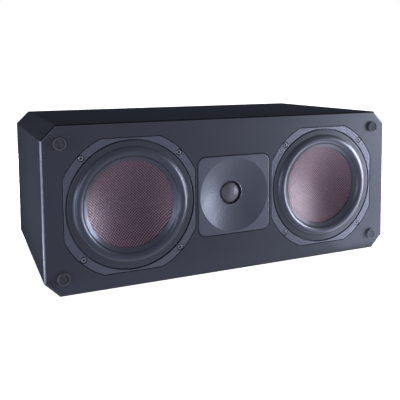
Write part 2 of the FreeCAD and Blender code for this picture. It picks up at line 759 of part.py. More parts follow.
def post_nut():
    """A fluted thumb nut with a plain skirt where it clamps."""
    start = POST_COLLAR_T + WASHER_T - RECESS_S
    end = start + NUT_LENGTH
    grip = disc(NUT_R, start + NUT_SKIRT, end)
    grip = grip.makeFillet(NUT_ROUND, edges_at(grip, end))
    flutes = []
    for i in range(FLUTES):
        flute = disc(FLUTE_R, start + NUT_SKIRT, end, NUT_R)
        flute.rotate(Vector(), ALONG, i * 360 / FLUTES)
        flutes.append(flute)
    skirt = disc(NUT_SKIRT_R, start, start + NUT_SKIRT)
    return grip.cut(flutes).fuse(skirt).cut(disc(POST_R + RUNNING, start, end))


def post_lock_nuts():
    start = -RECESS_S - CUP_WALL - LOCK_NUT_T
    nut = hexagon(LOCK_NUT, start, start + LOCK_NUT_T).cut(disc(POST_R + RUNNING, start, start + LOCK_NUT_T))
    return Part.makeCompound([on_back(nut, -POST_X), on_back(nut, POST_X)])


def wall_inserts():
    insert = disc(INSERT_R, -INSERT_LENGTH, 0).fuse(disc(INSERT_HEAD_R, -INSERT_HEAD_T, 0)).removeSplitter()
    insert = insert.cut(disc(INSERT_BORE_R, -INSERT_LENGTH, 0))
    return Part.makeCompound([on_back(s) for s in at_corners(insert, INSERT_X, INSERT_Z)])


# Crossover, drawn on the floor of the box
def board_levels():
    """Underside and top of the circuit board."""
    under = WALL + SPACER
    return under, under + BOARD_T


def crossover_board():
    under, _ = board_levels()
    board = Part.makeBox(BOARD_X, BOARD_Y, BOARD_T, Vector(-BOARD_X / 2, BOARD_CENTRE_Y - BOARD_Y / 2, under))
    holes = [Part.makeCylinder(BOARD_SCREW_R + SCREW_FIT, BOARD_T, Vector(x, y, under), UP)
             for x, y in board_corner_points()]
    return board.cut(holes)


def board_spacers():
    spacers = []
    for x, y in board_corner_points():
        outer = Part.makeCylinder(SPACER_R, SPACER, Vector(x, y, WALL), UP)
        bore = Part.makeCylinder(BOARD_SCREW_R + SCREW_FIT, SPACER, Vector(x, y, WALL), UP)
        spacers.append(outer.cut(bore))
    return Part.makeCompound(spacers)


def board_screws():
    _, top = board_levels()
    foot = WALL - BOARD_SCREW_BITE
    screws = []
    for x, y in board_corner_points():
        shank = Part.makeCylinder(BOARD_SCREW_R, top - foot, Vector(x, y, foot), UP)
        head = Part.makeCylinder(BOARD_SCREW_HEAD_R, BOARD_SCREW_HEAD_T, Vector(x, y, top), UP)
        screws.append(shank.fuse(head).removeSplitter())
    return Part.makeCompound(screws)


def inductor(outer, inner, height, x, y):
    """An air-cored coil that stands on the board."""
    foot = Vector(x, y, board_levels()[1])
    coil = Part.makeCylinder(outer, height, foot, UP)
    coil = coil.makeFillet(COIL_ROUND, [e for e in coil.Edges if len(e.Vertexes) == 1])
    return coil.cut(Part.makeCylinder(inner, height, foot, UP))


def capacitor(radius, length, x, y):
    """A film capacitor that lies along the board, from y backwards."""
    can = Part.makeCylinder(radius, length, Vector(x, y, board_levels()[1] + radius + REST_GAP), ALONG)
    return can.makeFillet(CAP_ROUND, [e for e in can.Edges if len(e.Vertexes) == 1])


def components():
    """The coils stand in front, from the board's left; the capacitors and the resistor lie behind them."""
    left = -BOARD_X / 2 + COMPONENT_EDGE
    front = BOARD_CENTRE_Y - BOARD_Y / 2 + BOARD_INSET + BOARD_SCREW_HEAD_R + COMPONENT_GAP
    row = front + 2 * max(LOW_COIL_R, HIGH_COIL_R) + COMPONENT_GAP
    high_coil_x = left + 2 * LOW_COIL_R + COMPONENT_GAP + HIGH_COIL_R
    high_cap_x = left + 2 * LOW_CAP_R + COMPONENT_GAP + HIGH_CAP_R
    block = Vector(high_cap_x + HIGH_CAP_R + COMPONENT_GAP, row, board_levels()[1])
    low = inductor(LOW_COIL_R, LOW_COIL_HOLE_R, LOW_COIL_H, left + LOW_COIL_R, front + LOW_COIL_R)
    high = inductor(HIGH_COIL_R, HIGH_COIL_HOLE_R, HIGH_COIL_H, high_coil_x, front + HIGH_COIL_R)
    return {"inductor_low": low, "inductor_high": high,
            "capacitor_low": capacitor(LOW_CAP_R, LOW_CAP, left + LOW_CAP_R, row),
            "capacitor_high": capacitor(HIGH_CAP_R, HIGH_CAP, high_cap_x, row),
            "resistor": Part.makeBox(RESISTOR_X, RESISTOR_Y, RESISTOR_Z, block)}


def wadding(side):
    """A block of wadding that fills the end of the box behind a woofer."""
    start = BRACE_X + BRACE_T / 2 + WADDING_SIDE
    end = WIDTH / 2 - WALL - WADDING_END
    front, back = FRONT + WADDING_FRONT, BACK - REAR
    block = Part.makeBox(end - start, back - front, HEIGHT - 2 * WALL, Vector(start, front, WALL))
    upright = [e for e in block.Edges if abs(e.tangentAt(e.FirstParameter).z) > 0.5]
    block = block.makeFillet(WADDING_ROUND, upright)
    return block if side > 0 else block.mirror(Vector(), Vector(1, 0, 0))


def build():
    parts = {"cabinet_shell": cabinet_shell(), "front_baffle": front_baffle(), "rear_panel": rear_panel(),
             "brace_left": brace(-1), "brace_right": brace(1), "grille_studs": grille_studs()}
    for side, x in (("left", -WOOFER_X), ("right", WOOFER_X)):
        for piece, shape in woofer().items():
            parts[f"woofer_{side}_{piece}"] = on_front(shape, x)
    for piece, shape in tweeter().items():
        parts[f"tweeter_{piece}"] = on_front(shape, 0)
    parts.update(terminal_cup=terminal_cup(), terminal_screws=terminal_screws(),
                 post_lock_nuts=post_lock_nuts(), wall_inserts=wall_inserts())
    for pole, x in (("positive", POST_X), ("negative", -POST_X)):
        parts[f"binding_post_{pole}"] = on_back(binding_post(), x)
        parts[f"post_washer_{pole}"] = on_back(post_washer(), x)
        parts[f"post_nut_{pole}"] = on_back(post_nut(), x)
    parts.update(crossover_board=crossover_board(), board_spacers=board_spacers(),
                 board_screws=board_screws(), **components(),
                 damping_left=wadding(-1), damping_right=wadding(1))
    return parts


def main():
    os.makedirs("parts", exist_ok=True)
    for name, shape in build().items():
        if not shape.isValid() or any(s.Volume <= 0 for s in shape.Solids):
            print("check", name, "valid", shape.isValid(), "solids", len(shape.Solids))
        shape.exportStep(f"parts/{name}.step")


main()
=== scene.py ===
"""Looks of the wall speaker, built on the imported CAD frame. Metres, +Z up, the front faces -Y."""
import json
import math

import bpy
import numpy as np
from mathutils import Matrix, Vector


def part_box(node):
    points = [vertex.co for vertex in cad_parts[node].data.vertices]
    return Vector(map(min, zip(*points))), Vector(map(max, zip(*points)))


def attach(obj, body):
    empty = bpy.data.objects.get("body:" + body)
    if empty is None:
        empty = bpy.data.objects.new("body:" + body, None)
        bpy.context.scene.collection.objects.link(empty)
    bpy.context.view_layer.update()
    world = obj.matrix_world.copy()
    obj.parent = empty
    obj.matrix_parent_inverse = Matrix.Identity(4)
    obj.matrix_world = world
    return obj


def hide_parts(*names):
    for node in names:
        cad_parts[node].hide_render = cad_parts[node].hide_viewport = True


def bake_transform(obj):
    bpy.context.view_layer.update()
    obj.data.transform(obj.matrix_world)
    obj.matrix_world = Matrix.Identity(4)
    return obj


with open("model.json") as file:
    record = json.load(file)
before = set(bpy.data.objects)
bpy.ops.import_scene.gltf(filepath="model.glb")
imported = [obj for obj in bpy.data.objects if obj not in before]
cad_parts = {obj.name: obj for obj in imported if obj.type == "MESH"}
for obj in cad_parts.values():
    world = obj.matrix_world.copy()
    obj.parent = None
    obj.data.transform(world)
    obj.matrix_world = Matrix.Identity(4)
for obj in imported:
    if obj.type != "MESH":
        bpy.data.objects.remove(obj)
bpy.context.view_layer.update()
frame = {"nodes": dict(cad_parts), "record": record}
nodes = frame["nodes"]
for node in nodes.values():
    node.data.materials.clear()
for plain in list(bpy.data.materials):
    bpy.data.materials.remove(plain)

MM = 0.001
FRONT_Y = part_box("front_baffle")[0].y
AXIS_Z = (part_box("front_baffle")[0].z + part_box("front_baffle")[1].z) / 2

# Sizes in millimetres, as in the CAD source; depths are measured back from the baffle's face
WOOFERS = (("left", -132.5), ("right", 132.5))
RIM_R, RIM_FRONT, RIM_SEAT, RIM_ROUND = 76.0, 0.3, 3.8, 0.6
ROLL_OUT, ROLL_IN, ROLL_PROUD, ROLL_T, FOOT_ROUND = 69.0, 57.0, 3.59, 1.2, 0.84
LIP_T, LIP_ROUND, GLUE = 1.0, 0.45, 0.3
DISH_EDGE_R, DISH_EDGE_S, DISH_R = 52.0, 5.0, 100.0
SPIDER_IN, SPIDER_RIM, SPIDER_S, SPIDER_T = 20.05, 48.2, 33.0, 0.6
SPIDER_WAVES, SPIDER_SWING, SHELF_IN = 4, 1.3, 44.0
THROAT_R, BEAD, BEAD_BACK = 15.1, 1.3, 13.3
TWEETER_IN, TWEETER_ROLL, TWEETER_ROLL_T = 13.0, 0.7, 0.4
DOME_S, CARRIER_R, CARRIER_S, CARRIER_BACK = 14.1, 18.2, 13.2, 15.2
STUD_X, STUD_Z, STUD_R = 214.0, 76.5, 7.0
SCREW_PITCH, SOCKET_R, SOCKET_END = 58.5, 1.5, 2.0
SLACK = 0.1                  # tolerance when a face is picked by its radius

# The woven cloth, in millimetres
WEAVE = 1.75                 # from one thread to the next
TUCK, CLOTH_T = 2.4, 0.8     # how far it reaches under the lip, and its thickness
RELIEF, SUNK = 0.32, 0.18    # height of a thread, and how far behind the dish its valleys lie
FADE = 1.5                   # width of the border in which the relief dies out
CROWNED, DRAWN = 1.2, 0.7    # powers of a sine: across a thread and along it
NUDGE = 1e-6                 # keeps a grid point that lies on a thread's edge in that thread
BACK_RINGS = (1.0, 0.75, 0.45, 0.15)     # of its smooth back, as shares of the radius

# Points along the curves, and steps round the axes
THREAD_STEPS, FOOT_STEPS, CORNER_STEPS = 4, 6, 4
ROLL_STEPS, UNDER_STEPS, LIP_POINTS, GLUE_POINTS = 36, 12, 9, 6
WAVE_STEPS, TWEETER_STEPS = 8, 16
ROLL_TURN, SPIDER_TURN, TWEETER_TURN = 192, 96, 128
CREASE, CLOTH_CREASE = math.radians(40), math.radians(80)


# Mesh helpers
def dish(r, ahead=0.0):
    """Depth of the woofer's spherical dish at radius r, or of a layer that far ahead of it."""
    centre = DISH_EDGE_S - math.sqrt(DISH_R ** 2 - DISH_EDGE_R ** 2)
    return centre + np.sqrt((DISH_R - ahead) ** 2 - r ** 2)


def make(name, verts, faces, crease):
    mesh = bpy.data.meshes.new(name)
    mesh.from_pydata(verts, [], faces)
    mesh.shade_smooth()
    mesh.set_sharp_from_angle(angle=crease)
    mesh.update()
    obj = bpy.data.objects.new(name, mesh)
    bpy.context.scene.collection.objects.link(obj)
    return obj


def arc(a, b, c, steps):
    """Points on the circle through a, b and c, from a to c."""
    (ax, ay), (bx, by), (cx, cy) = a, b, c
    a2, b2, c2 = ax ** 2 + ay ** 2, bx ** 2 + by ** 2, cx ** 2 + cy ** 2
    d = 2 * (ax * (by - cy) + bx * (cy - ay) + cx * (ay - by))
    ux = (a2 * (by - cy) + b2 * (cy - ay) + c2 * (ay - by)) / d
    uy = (a2 * (cx - bx) + b2 * (ax - cx) + c2 * (bx - ax)) / d
    radius = math.hypot(ax - ux, ay - uy)
    start, middle, end = (math.atan2(y - uy, x - ux) for x, y in (a, b, c))
    turn = (end - start) % (2 * math.pi)
    if (middle - start) % (2 * math.pi) > turn:
        turn -= 2 * math.pi
    angles = [start + turn * k / steps for k in range(steps + 1)]
    return [(ux + radius * math.cos(angle), uy + radius * math.sin(angle)) for angle in angles]


def eased(before, after, reach, steps):
    """Two runs of points that meet in a corner, joined by a small curve."""
    corner = np.array(before[-1])

    def cut(run):
        run = [np.array(p) for p in run]
        while len(run) > 1 and np.linalg.norm(run[-2] - corner) < reach:
            run.pop()
        towards = run[-2] - corner
        run[-1] = corner + towards * reach / np.linalg.norm(towards)
        return run

    head = cut(before)
    tail = cut(after[::-1])[::-1]
    bend = []
    for k in range(1, steps):
        t = k / steps
        bend.append((1 - t) ** 2 * head[-1] + 2 * t * (1 - t) * corner + t ** 2 * tail[0])
    return [tuple(p) for p in head + bend + tail]


def lathe(name, outline, x, segments):
    """A closed outline (radius, depth), turned about a driver's axis."""
    verts, faces = [], []
    count = len(outline)
    for i in range(segments):
        a = 2 * math.pi * i / segments
        for r, s in outline:
            verts.append(((x + r * math.cos(a)) * MM, FRONT_Y + s * MM, AXIS_Z + r * math.sin(a) * MM))
    for i in range(segments):
        here, there = i * count, (i + 1) % segments * count
        for k in range(count):
            n = (k + 1) % count
            faces.append((here + k, there + k, there + n, here + n))
    return make(name, verts, faces, CREASE)


def from_axis(point, x):
    """Distance of a point from a driver's axis, in millimetres."""
    return math.hypot(point.x / MM - x, (point.z - AXIS_Z) / MM)


def refinish(mesh, material, chosen):
    """A second material on the faces that chosen picks."""
    mesh.materials.append(material)
    for face in mesh.polygons:
        if chosen(face):
            face.material_index = 1


def radial_weights(obj):
    """Reads a suspension part's vertex positions; no weights are made from them."""
    co = np.empty(len(obj.data.vertices) * 3, np.float32)
    obj.data.vertices.foreach_get("co", co)
    co = co.reshape(-1, 3)


# Node helpers
class Shader:
    """A material with its principled shader and short calls for its nodes."""

    def __init__(self, name, colour, roughness, **sockets):
        self.material = bpy.data.materials.new(name)
        self.material.use_nodes = True
        self.tree = self.material.node_tree
        self.bsdf = self.tree.nodes["Principled BSDF"]
        self.bsdf.inputs["Base Color"].default_value = (*colour, 1)
        self.bsdf.inputs["Roughness"].default_value = roughness
        for socket, value in sockets.items():
            self.bsdf.inputs[socket.replace("_", " ")].default_value = value
        texture = self.node("ShaderNodeTexCoord").outputs
        self.coords, self.normal = texture["Object"], texture["Normal"]

    def node(self, kind, **settings):
        made = self.tree.nodes.new(kind)
        for key, value in settings.items():
            setattr(made, key, value)
        return made

    def link(self, source, target):
        if isinstance(source, (int, float)):
            target.default_value = source
        elif isinstance(source, tuple):
            target.default_value = (*source, 1)
        else:
            self.tree.links.new(source, target)

    def maths(self, operation, a, b=0.0):
        made = self.node("ShaderNodeMath", operation=operation)
        self.link(a, made.inputs[0])
        self.link(b, made.inputs[1])
        return made.outputs[0]

    def split(self, vector):
        made = self.node("ShaderNodeSeparateXYZ")
        self.link(vector, made.inputs[0])
        return made.outputs

    def on_front(self):
        """Millimetres across and up from the middle of the front."""
        place = self.split(self.coords)
        across, height = (self.maths("MULTIPLY", place[axis], 1 / MM) for axis in "XZ")
        return across, self.maths("SUBTRACT", height, AXIS_Z / MM)

    def length(self, a, b):
        squares = [self.maths("MULTIPLY", side, side) for side in (a, b)]
        return self.maths("SQRT", self.maths("ADD", *squares))

    def noise(self, scale, detail=3.0, rough=0.55):
        made = self.node("ShaderNodeTexNoise")
        made.inputs["Scale"].default_value = scale
        made.inputs["Detail"].default_value = detail
        made.inputs["Roughness"].default_value = rough
        self.link(self.coords, made.inputs["Vector"])
        return made.outputs["Fac"]

    def specks(self, scale, size, share):
        """Sparse round specks: a share of the cells holds one, of a size in cells."""
        cells = self.node("ShaderNodeTexVoronoi")
        cells.inputs["Scale"].default_value = scale
        self.link(self.coords, cells.inputs["Vector"])
        spot = self.ramp(cells.outputs["Distance"], size, size / 2)
        pick = self.node("ShaderNodeSeparateColor")
        self.link(cells.outputs["Color"], pick.inputs[0])
        return self.maths("MULTIPLY", spot, self.maths("LESS_THAN", pick.outputs[0], share))

    def ramp(self, value, low, high, to_low=0.0, to_high=1.0):
        made = self.node("ShaderNodeMapRange", interpolation_type="SMOOTHSTEP")
        self.link(value, made.inputs["Value"])
        limits = {"From Min": low, "From Max": high, "To Min": to_low, "To Max": to_high}
        for socket, number in limits.items():
            made.inputs[socket].default_value = number
        return made.outputs["Result"]

    def mix(self, factor, a, b):
        made = self.node("ShaderNodeMix", data_type="RGBA")
        self.link(factor, made.inputs["Factor"])
        self.link(a, made.inputs[6])     # the colours A and B, and below the colour that comes out
        self.link(b, made.inputs[7])
        return made.outputs[2]

    def bump(self, height, distance):
        made = self.node("ShaderNodeBump")
        made.inputs["Distance"].default_value = distance
        self.link(height, made.inputs["Height"])
        self.link(made.outputs["Normal"], self.bsdf.inputs["Normal"])

    def colour(self, source):
        self.link(source, self.bsdf.inputs["Base Color"])

    def roughness(self, source):
        self.link(source, self.bsdf.inputs["Roughness"])


def scaled(colour, by):
    return tuple(c * by for c in colour)


def direct_rays(tree):
    """1 for rays from the camera, a mirror or glass, 0 for the light that falls on surfaces."""
    path = tree.nodes.new("ShaderNodeLightPath").outputs
    seen = path["Is Camera Ray"]
    for kind in ("Is Glossy Ray", "Is Transmission Ray"):
        either = tree.nodes.new("ShaderNodeMath")
        either.operation = "MAXIMUM"
        tree.links.new(seen, either.inputs[0])
        tree.links.new(path[kind], either.inputs[1])
        seen = either.outputs[0]
    return seen


# Finishes
BLUE = (0.60, 0.67, 1.0, 1.0)
MAUVE = (0.93, 0.80, 1.0, 1.0)
VIOLET = (0.62, 0.52, 1.0, 1.0)
WRAP = (0.0252, 0.0284, 0.0402)
FACE = (0.0178, 0.0194, 0.0274)
# Painted shade: a darker copy of the face's paint for the baffle's upper edge, which faces up
UPPER_EDGE_SHADE = (0.0110, 0.0115, 0.0145)
DUST = (0.075, 0.075, 0.08)
UNEVEN = (45.0, 5.0, 0.65)     # noise of the gloss: scale, detail, roughness
SPREAD = (0.3, 0.7)            # where most values of a noise lie


def coat(name, colour, roughness, level, grain, depth, tint=BLUE):
    """Sprayed or moulded finish: slight mottling, uneven gloss and a fine grain."""
    s = Shader(name, colour, roughness, Specular_IOR_Level=level, Specular_Tint=tint)
    s.colour(s.mix(s.noise(14.0, 4.0), scaled(colour, 0.88), scaled(colour, 1.12)))
    s.roughness(s.ramp(s.noise(*UNEVEN), *SPREAD, roughness - 0.04, roughness + 0.05))
    s.bump(s.noise(grain, 2.0), depth)
    return s


def metal(name, colour, roughness):
    """Bare or plated metal with a fine drawn grain."""
    s = Shader(name, colour, roughness, Metallic=1.0)
    s.colour(s.mix(s.noise(60.0, 4.0), scaled(colour, 0.85), scaled(colour, 1.1)))
    s.roughness(s.ramp(s.noise(900.0, 4.0), 0.25, 0.75, roughness - 0.06, roughness + 0.1))
    s.bump(s.noise(1800.0), 0.00001)
    return s


def cabinet_paint(name, base, level):
    """Lacquer, dull on the wrap, satin on the front and smooth on its edges, with specks of dust."""
    s = Shader(name, base, 0.45, Specular_IOR_Level=level, Specular_Tint=BLUE)
    facing = s.split(s.normal)["Y"]
    gloss = s.ramp(s.noise(*UNEVEN), *SPREAD, -0.03, 0.03)
    wrap = s.ramp(facing, -0.12, -0.02, to_low=0.0, to_high=0.7)
    front = s.ramp(facing, -0.93, -0.99, to_low=0.24, to_high=0.44)
    s.roughness(s.maths("ADD", s.maths("ADD", wrap, gloss), front))
    cloud = s.mix(s.noise(11.0, 4.0), scaled(base, 0.9), scaled(base, 1.1))
    s.colour(s.mix(s.specks(scale=170.0, size=0.09, share=0.05), cloud, DUST))
    s.bump(s.noise(900.0, 2.0), 0.00005)
    return s


def peg_rubber():
    """Grainy rubber, paler where the rim is rubbed."""
    s = Shader("peg_rubber", (0.045, 0.045, 0.062), 0.75, Specular_IOR_Level=0.1, Specular_Tint=BLUE)
    across, up = s.on_front()
    r = s.length(s.maths("SUBTRACT", s.maths("ABSOLUTE", across), STUD_X),
                 s.maths("SUBTRACT", s.maths("ABSOLUTE", up), STUD_Z))
    rub_from, rub_to = STUD_R - 1.6, STUD_R - 0.9
    rubbed = s.maths("MULTIPLY", s.ramp(r, rub_from, rub_to), s.noise(420.0))
    blotch = s.ramp(s.noise(550.0, 3.0, 0.7), 0.45, 0.7)
    face = s.mix(blotch, (0.025, 0.026, 0.036), (0.054, 0.056, 0.072))
    s.colour(s.mix(rubbed, face, (0.085, 0.086, 0.108)))
    s.bump(s.noise(1300.0, 3.0, 0.7), 0.00025)
    return s


def yarn(name, dark, light, roughness, level):
    """Thread of the woven dish, laid in clear resin."""
    s = Shader(name, light, roughness, Specular_IOR_Level=level, Specular_Tint=MAUVE)
    s.colour(s.mix(s.noise(700.0, 2.0), dark, light))
    s.roughness(s.ramp(s.noise(900.0, 2.0), *SPREAD, roughness - 0.04, roughness + 0.04))
    s.bump(s.noise(2600.0, 2.0), 0.00003)
    return s


def dome_cloth():
    """Coated cloth, with painted shade that darkens it where the dome turns down to its edge."""
    s = coat("dome_cloth", (0.08, 0.078, 0.10), 0.38, 0.23, 3500.0, 0.00003, VIOLET)
    # Painted shade: the colour falls to near black over the last millimetres before the dome's edge
    shade_from, shade_to = TWEETER_IN - 1.5, TWEETER_IN - 0.1
    edge = s.ramp(s.length(*s.on_front()), shade_from, shade_to)
    cap = s.mix(s.noise(300.0), (0.066, 0.070, 0.087), (0.100, 0.103, 0.124))
    s.colour(s.mix(edge, cap, (0.024, 0.020, 0.036)))
    return s


# Slot: colour, roughness, specular level, scale and depth of the grain
COATS = {
    "raw_board": ((0.40, 0.29, 0.19), 0.8, 0.3, 900.0, 0.0001),
    "basket_coat": ((0.0122, 0.0132, 0.0180), 0.44, 0.70, 420.0, 0.0006),
    "suspension_rubber": ((0.0142, 0.0153, 0.0213), 0.32, 0.44, 1800.0, 0.00002),
    "gasket_foam": ((0.01, 0.01, 0.011), 0.9, 0.2, 3000.0, 0.0001),
    "spider_cloth": ((0.42, 0.28, 0.10), 0.8, 0.2, 2500.0, 0.0001),
    "ferrite": ((0.03, 0.03, 0.033), 0.6, 0.4, 1200.0, 0.00005),
    "guide_plastic": ((0.0316, 0.0343, 0.0479), 0.45, 0.46, 420.0, 0.00035),
    "black_plastic": ((0.016, 0.016, 0.018), 0.5, 0.4, 1800.0, 0.00005),
    "red_plastic": ((0.42, 0.012, 0.012), 0.25, 0.5, 900.0, 0.00001),
    "nut_black": ((0.012, 0.012, 0.013), 0.25, 0.5, 900.0, 0.00001),
    "circuit_board": ((0.02, 0.10, 0.05), 0.4, 0.5, 900.0, 0.00002),
    "film_capacitor": ((0.55, 0.36, 0.05), 0.3, 0.5, 900.0, 0.00002),
    "cement_resistor": ((0.70, 0.67, 0.62), 0.8, 0.3, 1500.0, 0.0001),
    "wadding": ((0.75, 0.75, 0.72), 0.95, 0.1, 400.0, 0.001),
}
# Slot: colour, roughness
METALS = {
    "coil_wire": ((0.62, 0.28, 0.13), 0.35),
    "motor_steel": ((0.45, 0.46, 0.47), 0.35),
    "black_screw": ((0.085, 0.09, 0.12), 0.25),
    "plated_brass": ((0.83, 0.60, 0.24), 0.2),
    "zinc_steel": ((0.50, 0.50, 0.49), 0.42),
    "copper_coil": ((0.66, 0.28, 0.12), 0.3),
}
MATERIALS = {
    "cabinet_paint": cabinet_paint("cabinet_paint", WRAP, 0.0).material,
    "peg_rubber": peg_rubber().material,
    "dome_cloth": dome_cloth().material,
    "woven_fibre": yarn("grey_yarn", (0.053, 0.048, 0.067), (0.084, 0.074, 0.102), 0.25, 0.58).material,
}
MATERIALS.update({slot: coat(slot, *values).material for slot, values in COATS.items()})
MATERIALS.update({slot: metal(slot, *values).material for slot, values in METALS.items()})

# Second finishes, on some faces of a piece
BAFFLE_FACE = cabinet_paint("baffle_face", FACE, 0.25).material
BAFFLE_EDGE = cabinet_paint("baffle_edge", FACE, 1.0).material
# Painted shade for the upward-facing upper edge of the baffle
BAFFLE_UPPER_EDGE_SHADE = cabinet_paint("baffle_upper_edge_shade", UPPER_EDGE_SHADE, 0.0).material
GUIDE_LIP = coat("guide_lip", (0.0350, 0.0380, 0.0530), 0.24, 0.95, 2200.0, 0.00001).material
# Painted shade: near-black colour for the hollows of the screws' sockets
SOCKET_SHADE = coat("socket_painted_shade", (0.004, 0.004, 0.005), 0.7, 0.1, 2200.0, 0.00002).material
RIM_RUBBER = coat("rim_rubber", (0.0180, 0.0194, 0.0270), 0.36, 0.30, 1800.0, 0.00002).material
TWEETER_RUBBER = coat("tweeter_rubber", (0.010, 0.010, 0.013), 0.5, 0.12, 1800.0, 0.00002).material
MAROON_YARN = yarn("maroon_yarn", (0.030, 0.0032, 0.014), (0.051, 0.0066, 0.026), 0.55, 0.02).material

for row in frame["record"]["subparts"]:
    nodes[row["node"]].data.materials.append(MATERIALS[row["material_slot"]])

# The baffle's face has more gloss than the wrap on the sides;
# its upright edges are polished, and its upper edge, which faces up, gets a darker copy of the paint as
# painted shade
FACE_ON, TURNED, LEANING = -0.985, -0.1, 0.3     # limits of a face's normal
baffle = nodes["front_baffle"].data
for finish in (BAFFLE_FACE, BAFFLE_EDGE, BAFFLE_UPPER_EDGE_SHADE):
    baffle.materials.append(finish)
for face in baffle.polygons:
    to_right, to_back, to_top = face.normal
    if to_back < FACE_ON:
        face.material_index = 1
    elif to_back < TURNED and abs(to_top) < LEANING:
        face.material_index = 2
    # Upward-facing edge faces take the painted shade
    elif to_back < TURNED and to_top > LEANING and to_right < LEANING:
        face.material_index = 3


# The bead round the tweeter's throat is polished
def on_bead(face):
    place = nodes["tweeter_faceplate"].matrix_world @ face.center
    near = THROAT_R - SLACK < from_axis(place, 0.0) < THROAT_R + BEAD
    return near and place.y < FRONT_Y + BEAD_BACK * MM


refinish(nodes["tweeter_faceplate"].data, GUIDE_LIP, on_bead)


# The sockets of the drivers' screws get a near-black colour as painted shade, where they lie in shadow
def in_socket(face, x):
    across = abs(face.center.x / MM - x) - SCREW_PITCH
    up = abs(face.center.z - AXIS_Z) / MM - SCREW_PITCH
    return math.hypot(across, up) < SOCKET_R and face.center.y < FRONT_Y + SOCKET_END * MM


for side, x in WOOFERS:
    refinish(nodes[f"woofer_{side}_screws"].data, SOCKET_SHADE, lambda face: in_socket(face, x))


# Surrounds, spiders and woven dishes, in place of their plain nodes
def surround_outline():
    """Rim, half roll and lip of the rubber moulding, with eased feet."""
    lip = GLUE + LIP_T
    crown = (ROLL_OUT + ROLL_IN) / 2
    seat, corner, outer_foot = (RIM_R, RIM_SEAT), (RIM_R, RIM_FRONT), (ROLL_OUT, RIM_FRONT)
    inner_foot = (ROLL_IN, float(dish(ROLL_IN, lip)))
    rim = eased([seat, corner], [corner, outer_foot], RIM_ROUND, CORNER_STEPS)
    roll = arc(outer_foot, (crown, -ROLL_PROUD), inner_foot, ROLL_STEPS)
    lip_front = [(r, float(dish(r, lip))) for r in np.linspace(ROLL_IN, DISH_EDGE_R, LIP_POINTS)]
    tip = (DISH_EDGE_R, float(dish(DISH_EDGE_R, GLUE)))
    glued = np.linspace(DISH_EDGE_R, ROLL_IN + ROLL_T, GLUE_POINTS)
    lip_back = [(r, float(dish(r, GLUE))) for r in glued]
    under = arc(lip_back[-1], (crown, ROLL_T - ROLL_PROUD), (ROLL_OUT - ROLL_T, RIM_SEAT), UNDER_STEPS)
    front = eased(rim, roll, FOOT_ROUND, FOOT_STEPS)
    front = eased(front, lip_front, FOOT_ROUND, FOOT_STEPS)
    front = eased(front, [lip_front[-1], tip], LIP_ROUND, CORNER_STEPS)
    return front + lip_back[1:] + under[1:]


def woven_dish(name, x):
    """The dish as a sheet of woven yarn: each thread rises where it passes over."""
    step = WEAVE / THREAD_STEPS
    reach = DISH_EDGE_R + TUCK
    half = int(reach / step) + 1
    line = np.arange(-half, half + 1) * step
    across, up = np.meshgrid(line, line, indexing="ij")
    r = np.hypot(across, up)
    inside = r <= reach
    number = -np.ones(r.shape, int)
    quads = inside[:-1, :-1] & inside[1:, :-1] & inside[1:, 1:] & inside[:-1, 1:]
    used = np.zeros(r.shape, bool)
    for di, dj in ((0, 0), (1, 0), (1, 1), (0, 1)):
        used[di:r.shape[0] - 1 + di, dj:r.shape[1] - 1 + dj] |= quads
    number[used] = np.arange(used.sum())
    odd = (np.floor(across / WEAVE + NUDGE) + np.floor(up / WEAVE + NUDGE)) % 2 > 0.5
    u = np.abs(np.sin(math.pi * across / WEAVE))
    v = np.abs(np.sin(math.pi * up / WEAVE))
    thread = np.where(odd, u ** CROWNED * v ** DRAWN, u ** DRAWN * v ** CROWNED)
    relief = (RELIEF * thread - SUNK) * np.clip((reach - r) / FADE, 0, 1)
    depth = dish(np.minimum(r, reach)) - relief
    i, j = np.nonzero(quads)
    corners = [number[i, j], number[i, j + 1], number[i + 1, j + 1], number[i + 1, j]]
    faces = np.stack(corners, 1).tolist()
    flat = np.stack([across[used], up[used]], 1)
    depth = depth[used]

    # The border is drawn out to a circle and closed by a smooth back
    full = np.zeros((r.shape[0] + 1, r.shape[1] + 1), int)
    full[1:-1, 1:-1] = quads
    around = full[:-1, :-1] + full[1:, :-1] + full[1:, 1:] + full[:-1, 1:]
    border = number[used & (around < 4)]
    angle = np.arctan2(flat[border, 1], flat[border, 0])
    border = border[np.argsort(angle)]
    angle = np.sort(angle)
    circle = np.stack([np.cos(angle), np.sin(angle)], 1)
    count = len(angle)
    flat[border] = reach * circle
    depth[border] = dish(reach)
    ring = border.tolist()
    for share in BACK_RINGS:
        first = len(flat)
        flat = np.vstack([flat, share * reach * circle])
        depth = np.append(depth, np.full(count, dish(share * reach, -CLOTH_T)))
        inner = list(range(first, first + count))
        faces += [(ring[k], ring[k - 1], inner[k - 1], inner[k]) for k in range(count)]
        ring = inner
    flat = np.vstack([flat, [[0, 0]]])
    depth = np.append(depth, dish(0.0, -CLOTH_T))
    faces += [(ring[k], ring[k - 1], len(flat) - 1) for k in range(count)]
    verts = np.stack([(x + flat[:, 0]) * MM, FRONT_Y + depth * MM, AXIS_Z + flat[:, 1] * MM], 1)
    obj = make(name, verts.tolist(), faces, CLOTH_CREASE)
    obj.data.materials.append(MATERIALS["woven_fibre"])
    obj.data.materials.append(MAROON_YARN)
    index = np.zeros(len(faces), np.int32)
    index[:len(i)] = odd[i, j]
    obj.data.polygons.foreach_set("material_index", index)
    return obj


